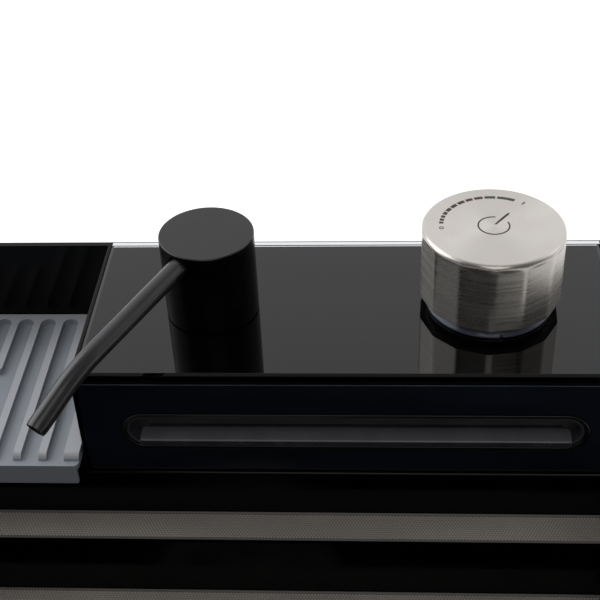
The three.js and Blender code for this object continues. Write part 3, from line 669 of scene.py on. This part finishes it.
def knob_shell():
    """The cap: a faceted skirt that runs into a round crown."""
    count = FACETS * 14
    rings = []

    def ring(z, facets, r, inset=0.0):
        """One level outline; facets is 1 for the skirt's shape and 0 for a circle."""
        points = []
        for k in range(count):
            angle = FACET_TURN + 2 * math.pi * k / count
            radius = facets * facet_radius(angle, r) + (1 - facets) * r * 0.988 - inset
            points.append((knob.cx + radius * math.cos(angle), knob.cy + radius * math.sin(angle), z))
        return points

    rings.append(ring(knob.z0 + 6, 0, knob.r - KNOB_WALL))
    rings.append(ring(knob.z0 + 0.2, 0, knob.r - KNOB_WALL))
    rings.append(ring(knob.z0, 0, knob.r - KNOB_WALL + 0.3))
    rings.append(ring(knob.z0, 1, knob.r, 0.5))
    rings.append(ring(knob.z0 + 0.15, 1, knob.r, 0.12))
    rings.append(ring(knob.z0 + 0.5, 1, knob.r))
    body_top = knob.z1 - CROWN_R
    rings.append(ring(body_top - 1.6, 1, knob.r))
    rings.append(ring(body_top - 0.7, 0.7, knob.r))
    for k in range(9):
        tilt = math.radians(90 * k / 8)
        inset = CROWN_R * (1 - math.cos(tilt))
        blend = 0.35 * (1 - k / 4) if k < 4 else 0.0
        rings.append(ring(body_top + CROWN_R * math.sin(tilt), blend, knob.r, inset))
    rings.append(circle_ring(knob.cx, knob.cy, TOP_CENTRE_R, knob.z1, count, FACET_TURN))
    return loft(rings)


cap = make("knob_shell", knob_shell(), "knob_steel", body="knob", replaces=("knob_cap",), angle=25)
repaint(cap, "knob_top", lambda polygon: polygon.normal.z > 0.75)

MARK_H = 0.05  # how far the print stands above the top
SCALE_START, SCALE_GAP = 175.4, 2.1  # degrees
SCALE_SIZES = (3.6, 4.0, 4.4, 5.4, 7.0, 8.6, 9.0, 8.4, 9.9, 12.1, 20.0)
LOW_BARS = 9  # bars of the scale in the warmer tone
SIGN_LEAN = 53  # degrees; the power sign's bar points this way


def arc_bar(r0, r1, a0, a1, z0, z1):
    """A flat piece of a ring between two angles in degrees."""
    steps = max(2, int(abs(a1 - a0) / 2))
    angles = [math.radians(a0 + (a1 - a0) * k / steps) for k in range(steps + 1)]
    outline = [(knob.cx + r1 * math.cos(a), knob.cy + r1 * math.sin(a)) for a in angles]
    outline += [(knob.cx + r0 * math.cos(a), knob.cy + r0 * math.sin(a)) for a in angles[::-1]]
    return extruded(outline, z0, z1)


def marks():
    """The printed scale: bars that grow round the back from off to on, and the power sign."""
    z0, z1 = knob.z1 - 0.1, knob.z1 + MARK_H
    angle, bars = SCALE_START, []
    for size in SCALE_SIZES:
        bars.append(arc_bar(21.5, 23.3, angle, angle - size, z0, z1))
        angle -= size + SCALE_GAP
    sign = arc_bar(6.35, 7.0, 80, 383.4, z0, z1)
    lean = math.radians(SIGN_LEAN)
    side = lean + math.pi / 2
    tapered = [(1.1, 0.35), (7, 0.55), (11.2, 0.5), (12.3, 0.15)]  # radius and half width
    outline = [(knob.cx + r * math.cos(lean) + h * math.cos(side),
                knob.cy + r * math.sin(lean) + h * math.sin(side))
               for r, h in tapered + [(r, -h) for r, h in tapered[::-1]]]
    off = math.radians(184)
    off_ring = turned(knob.cx + 22.4 * math.cos(off), knob.cy + 22.4 * math.sin(off),
                      [(0.6, z0), (1.0, z0), (1.0, z1), (0.6, z1)], 32)
    on_bar = arc_bar(21.2, 23.6, 51.8, 50.2, z0, z1)
    return bars, together(sign, off_ring, on_bar), extruded(outline, z0, z1)


bars, sign, hand = marks()
make("scale_low", together(*bars[:LOW_BARS]), "mark_warm", body="knob")
make("scale_high", together(*bars[LOW_BARS:]), "mark_green", body="knob")
make("power_ring", sign, "mark", body="knob")
make("power_bar", hand, "mark", body="knob")

ring_low = Span("light_ring")
lens = make("ring_lens", turned(ring_low.cx, ring_low.cy, closed_path(
    [(20.6, ring_low.z0), (ring_low.r, ring_low.z0), (ring_low.r, ring_low.z0 + 0.8), (24.6, ring_low.z1),
     (20.6, ring_low.z1)], (0.1, 0.15, 0.4, 0.6, 0.1)), 128), "light_lens", replaces=("light_ring",))
carve(lens, block(ring_low.cx + 2.4, ring_low.cx + 4.0, ring_low.cy - 30, ring_low.cy - 27.1, 0, 2.4))

# ------------------------------------------------------------------ spout and post
post = Span("post_shell")
post_top = Span("post_cap")
tube = Span("spout_tube")
CAD_TUBE_R, TUBE_R, TUBE_BORE = 4.7, 4.3, 3.3
# The tip's centre depends on the heading and the heading on it; four rounds settle both.
heading = math.atan2(tube.y0 - post.cy, tube.x0 - post.cx)
for _ in range(4):
    tip_x = tube.x0 + CAD_TUBE_R * abs(math.sin(heading))
    tip_y = tube.y0 + CAD_TUBE_R * abs(math.cos(heading))
    heading = math.atan2(tip_y - post.cy, tip_x - post.cx)
REACH = math.hypot(tip_x - post.cx, tip_y - post.cy)
SPOUT_ROOT = 9.6  # where the tube starts inside the post
SPOUT_START, SLOPE, TIP_SLOPE, BEND, BLEND = 34.0, -0.15, -0.44, 85.0, 10.0


def spout_point(s):
    """The tube's centre line at a distance from the post's axis."""
    into = min(max(s - BEND + BLEND, 0), 2 * BLEND)
    beyond = max(s - BEND - BLEND, 0)
    z = SPOUT_START + SLOPE * (s - post.r) + (TIP_SLOPE - SLOPE) * (into ** 2 / (4 * BLEND) + beyond)
    return (post.cx + s * math.cos(heading), post.cy + s * math.sin(heading), z)


line = [SPOUT_ROOT + (REACH - SPOUT_ROOT) * k / 60 for k in range(61)]
radii = [TUBE_R] * len(line)
radii[-1] = TUBE_R - 0.25
make("spout_pipe", swept([spout_point(s) for s in line], radii, 48, TUBE_BORE), "pipe",
     body="spout", replaces=("spout_tube",))
body_shell = make("post_body", turned(post.cx, post.cy, closed_path(
    [(post.r - 2.4, post.z0), (post.r, post.z0), (post.r, post.z1), (post.r - 2.4, post.z1)],
    (0.2, 0.4, 0.15, 0.2)), 144), "post_side", body="spout", replaces=("post_shell",))
root = swept([spout_point(12), spout_point(26)], TUBE_R + 0.9, 48)
carve(body_shell, root)
lid = closed_path([(0.0, post_top.z0), (17.7, post_top.z0), (17.7, post_top.z0 + 0.4),
                   (post.r, post_top.z0 + 0.4), (post.r, post_top.z1 - 0.4), (post.r - 0.4, post_top.z1),
                   (0.0, post_top.z1)],
                  (0, 0.1, 0.1, 0.12, 0.2, 0.3, 0))
post_lid = make("post_lid", turned(post.cx, post.cy, lid, 144), "black_metal", body="spout",
                replaces=("post_cap",))
repaint(post_lid, "post_side", lambda polygon: polygon.normal.z < 0.3)

# ------------------------------------------------------------------ drain tray
BORDER, RIB, PITCH, CHANNELS = 6.85, 3.65, 11.35, 11
CHANNEL = PITCH - RIB
CHANNEL_END, PAD_END = tray.y1 - 3.9, 53.0
TRAY_FLOOR = tray.z1 - 3.2
TRAY_UNDER = tray.z1 - 5.7


def channel_right(k):
    """Right edge of a channel, counted from the right."""
    return tray.x1 - BORDER - k * PITCH


def tray_slab():
    """The tray's plate, before its channels are cut."""
    corners = [(tray.x0, tray.y0), (tray.x1, tray.y0), (tray.x1, tray.y1), (tray.x0, tray.y1)]
    outline = closed_path(corners, 2.5, 6)
    return extruded(outline, TRAY_UNDER, tray.z1)


def channel_shape(k):
    """The room of one channel, with a round back end."""
    x1 = channel_right(k)
    r = CHANNEL / 2
    arc = [(x1 - r + r * math.cos(math.pi * i / 16), CHANNEL_END - r + r * math.sin(math.pi * i / 16))
           for i in range(17)]
    return extruded([(x1 - CHANNEL, tray.y0 + 2), (x1, tray.y0 + 2), *arc], TRAY_FLOOR, tray.z1 + 1)


def front_step():
    """The room in front of the ribs, which end there in quarter rounds."""
    r = tray.z1 - TRAY_FLOOR
    middle = tray.y0 + 2 * r
    arc = [(middle - r * math.cos(math.radians(9 * i)), TRAY_FLOOR + r * math.sin(math.radians(9 * i)))
           for i in range(11)]
    profile = [(tray.y0 - 1, TRAY_FLOOR), *arc, (middle, tray.z1 + 1), (tray.y0 - 1, tray.z1 + 1)]
    return loft([[(x, y, z) for y, z in profile] for x in (tray.x0 - 1, tray.x1 + 1)])


def pad_shape():
    """The room of the flat pad; the ribs behind it start with round ends."""
    r = RIB / 2
    right, left = channel_right(3) - CHANNEL + 1, channel_right(9) - CHANNEL + 1
    outline = [(left, tray.y0), (right, tray.y0), (right, PAD_END + r)]
    for k in range(4, 10):
        middle = channel_right(k) + r
        outline += [(middle + r * math.cos(a), PAD_END + r - r * math.sin(a))
                    for a in (math.pi * i / 12 for i in range(13))]
    outline += [(left, PAD_END + r)]
    return extruded(outline, TRAY_FLOOR, tray.z1 + 1)


tray_deck = make("tray_deck", tray_slab(), "grey_plastic", body="tray", replaces=("drain_tray",))
carve(tray_deck, *[channel_shape(k) for k in range(CHANNELS)], front_step(), pad_shape())
# Painted highlight: the tray's upward faces above the channel floor, the rib tops, get the lighter grey.
rib_level = DATUM.z + (TRAY_FLOOR + 1) * MM
repaint(tray_deck, "tray_rib_highlight", lambda polygon: polygon.normal.z > 0.3 and polygon.center.z > rib_level)
soften(tray_deck, 0.7, 4, 50)
apron = make("tray_lip", block(tray.x0 + 1, tray.x1 - 1, tray.y0 + 0.02, tray.y0 + 2.6,
                               tray.z0, TRAY_FLOOR - 1.4), "grey_plastic", body="tray")
soften(apron, 0.8, 3)
for k in range(4):
    foot = Span(f"tray_foot_{k + 1}")
    outline = [(0, foot.z1 + 0.3), (foot.r + 1, foot.z1 + 0.3),
               (foot.r + 1.4, TRAY_UNDER + 0.3), (0, TRAY_UNDER + 0.3)]
    make(f"tray_boss_{k + 1}", turned(foot.cx, foot.cy, outline, 40), "grey_plastic", body="tray")

# ------------------------------------------------------------------ waste
basket = Span("strainer_basket")
basket_section = closed_path(
    [(4.2, basket.z0), (34, basket.z0), (39, basket.z1 - 1.5), (41, basket.z1 - 1.5), (41, basket.z1),
     (37.6, basket.z1), (32.9, basket.z0 + 1.5), (4.2, basket.z0 + 1.5)],
    (0.2, 2.5, 0.6, 0.5, 0.5, 1.0, 1.5, 0.2))
basket_cup = make("basket_cup", turned(drain.cx, drain.cy, basket_section, 72), "steel",
                  body="basket", replaces=("strainer_basket",))
basket_holes = []
for r, number in ((12, 8), (20, 14), (27, 18)):
    for k in range(number):
        angle = 2 * math.pi * k / number
        basket_holes.append(upright(drain.cx + r * math.cos(angle), drain.cy + r * math.sin(angle),
                                    1.6, basket.z0 - 1, basket.z0 + 3, 12))
for z in (basket.z1 - 9, basket.z1 - 16):
    for k in range(18):
        angle = 2 * math.pi * (k + (z % 2 > 1) / 2) / 18
        reach = [(drain.cx + r * math.cos(angle), drain.cy + r * math.sin(angle), z) for r in (30, 44)]
        basket_holes.append(swept(reach, 1.7, 12))
carve(basket_cup, together(*basket_holes))

strainer_section = closed_path(
    [(19, drain.z0), (21, drain.z0), (21, drain.z0 + 16), (43.5, drain.z0 + 16),
     (43.5, drain.z1 - 1.5), (57, drain.z1 - 1.5), (56.4, drain.z1), (41.5, drain.z1 - 0.2),
     (41.5, drain.z0 + 18), (19, drain.z0 + 18)],
    (0.2, 0.3, 2.0, 4.0, 0.5, 0.3, 1.0, 1.5, 3.0, 1.0))
make("strainer_cup", turned(drain.cx, drain.cy, strainer_section, 96), "steel", replaces=("strainer_body",))
hose = Span("overflow_hose")
SPIGOT_Z = -282  # height of the overflow's inlet on the strainer
HOSE_BEND_Z = -248  # where the hose leaves its straight fall
spigot = make("strainer_spigot", across("x", (drain.cy, SPIGOT_Z), 8.5, drain.cx + 40, drain.x1), "steel")
carve(spigot, across("x", (drain.cy, SPIGOT_Z), 6.6, drain.cx + 30, drain.x1 + 2))


def bezier(a, b, c, d, count):
    """Points along a cubic curve, without its first."""
    points = []
    for k in range(1, count + 1):
        t = k / count
        u = 1 - t
        points.append(tuple(u ** 3 * p + 3 * u * u * t * q + 3 * u * t * t * r + t ** 3 * s
                            for p, q, r, s in zip(a, b, c, d)))
    return points


def corrugated_hose():
    """The overflow hose along its CAD route, ribbed between two plain ends."""
    x, y = hose.x1 - 8, drain.cy
    low = hose.z0 + 8
    path = [(x, y, hose.z1 - (hose.z1 - HOSE_BEND_Z) * k / 100) for k in range(101)]
    path += bezier((x, y, HOSE_BEND_Z), (x, y, -280), (x - 14, y, low), (x - 44, y, low), 60)
    path += bezier((x - 44, y, low), (x - 76, y, low),
                   (hose.x0 + 30, y, SPIGOT_Z), (hose.x0, y, SPIGOT_Z), 60)
    lengths = [0.0]
    for p, q in zip(path, path[1:]):
        lengths.append(lengths[-1] + math.dist(p, q))
    total = lengths[-1]
    radii = []
    for s in lengths:
        plain = s < 12 or s > total - 12
        radii.append(7.9 if plain else 7.45 + 0.5 * math.cos(2 * math.pi * s / 4.5))
    return swept(path, radii, 28, 6.2)


make("hose_skin", corrugated_hose(), "black_plastic", replaces=("overflow_hose",), angle=60)

# ------------------------------------------------------------------ camera
FOCAL = 1223 / 600  # focal length over picture width
yaw, pitch, roll = (math.radians(a) for a in (-4.34, 36.98, -2.69))
forward = Vector((math.sin(yaw) * math.cos(pitch), math.cos(yaw) * math.cos(pitch), -math.sin(pitch)))
level = Vector((math.cos(yaw), -math.sin(yaw), 0))
above = level.cross(forward)
right = level * math.cos(roll) + above * math.sin(roll)
up = above * math.cos(roll) - level * math.sin(roll)
camera = bpy.data.objects.new("camera", bpy.data.cameras.new("camera"))
bpy.context.scene.collection.objects.link(camera)
place = Matrix((right, up, -forward)).transposed().to_4x4()
place.translation = DATUM + Vector((126.5, -386.6, 331.4)) * MM
camera.matrix_world = place
camera.data.sensor_width = 36
camera.data.lens = camera.data.sensor_width * FOCAL
camera.data.clip_start = 0.01
bpy.context.scene.camera = camera

# ------------------------------------------------------------------ stage and light
lowest = cad_box[0].z
floor_mesh = bpy.data.meshes.new("studio_floor")
half = 6.0
floor_corners = [(-half, -half), (half, -half), (half, half), (-half, half)]
floor_mesh.from_pydata([(x, y, lowest) for x, y in floor_corners], [], [(0, 1, 2, 3)])
floor = bpy.data.objects.new("studio_floor", floor_mesh)
bpy.context.scene.collection.objects.link(floor)
pale = bpy.data.materials.new("pale_floor")
floor_tree, pale_shader = group_nodes(pale)
put(pale_shader.inputs["Base Color"], (0.9, 0.9, 0.9, 1))
put(pale_shader.inputs["Roughness"], 0.9)
put(pale_shader.inputs["Emission Color"], (1, 1, 1, 1))
floor_place = floor_tree.nodes.new("ShaderNodeTexCoord")
floor_axes = floor_tree.nodes.new("ShaderNodeSeparateXYZ")
floor_tree.links.new(floor_place.outputs["Object"], floor_axes.inputs["Vector"])
# The floor glows more behind the sink, between these two places along y, in metres.
brighter = spread(floor_tree, floor_axes.outputs["Y"], 0.30, 0.62, 0.1, 0.85)
floor_tree.links.new(brighter, pale_shader.inputs["Emission Strength"])
floor_mesh.materials.append(pale)

world = bpy.data.worlds.new("studio")
bpy.context.scene.world = world
world.use_nodes = True
sky = world.node_tree
where = sky.nodes.new("ShaderNodeTexCoord")
parts = sky.nodes.new("ShaderNodeSeparateXYZ")
sky.links.new(where.outputs["Generated"], parts.inputs["Vector"])
lean = sky.nodes.new("ShaderNodeMath")
lean.operation = "MULTIPLY_ADD"
put(lean.inputs[1], -0.35)
sky.links.new(parts.outputs["Z"], lean.inputs[0])
sky.links.new(parts.outputs["Y"], lean.inputs[2])
ramp = sky.nodes.new("ShaderNodeValToRGB")
ramp.color_ramp.interpolation = "EASE"
stops = ((0.0, 0.10), (0.30, 0.15), (0.62, 0.88), (1.0, 0.92))
while len(ramp.color_ramp.elements) < len(stops):
    ramp.color_ramp.elements.new(0.5)
for element, (position, tone) in zip(ramp.color_ramp.elements, stops):
    element.position = position
    element.color = (tone, tone, tone * 1.02, 1)
remap = sky.nodes.new("ShaderNodeMapRange")
put(remap.inputs["From Min"], -1.0)
put(remap.inputs["From Max"], 1.0)
sky.links.new(lean.outputs[0], remap.inputs["Value"])
sky.links.new(remap.outputs["Result"], ramp.inputs["Fac"])
sky.links.new(ramp.outputs["Color"], sky.nodes["Background"].inputs["Color"])


def softbox(name, position, target, size, power, colour):
    """A soft light at a position, facing a target, both in millimetres; its size is in metres."""
    data = bpy.data.lights.new(name, "AREA")
    data.shape = "RECTANGLE"
    data.size, data.size_y = size
    data.energy = power
    data.color = colour
    lamp = bpy.data.objects.new(name, data)
    bpy.context.scene.collection.objects.link(lamp)
    lamp.location = DATUM + Vector(position) * MM
    aim = (DATUM + Vector(target) * MM) - lamp.location
    lamp.rotation_euler = aim.to_track_quat("-Z", "Y").to_euler()


middle = (70, 0, -20)
softbox("softbox_left", (-1100, 300, 900), middle, (1.5, 1.3), 10, (0.95, 0.98, 1.0))
softbox("softbox_right", (1200, 200, 700), middle, (0.7, 0.9), 0.8, (1.0, 0.97, 0.93))
softbox("softbox_front", (200, -900, 1100), (120, -20, -40), (0.8, 1.1), 3, (1.0, 0.97, 0.93))

bpy.context.scene.view_settings.view_transform = "Standard"
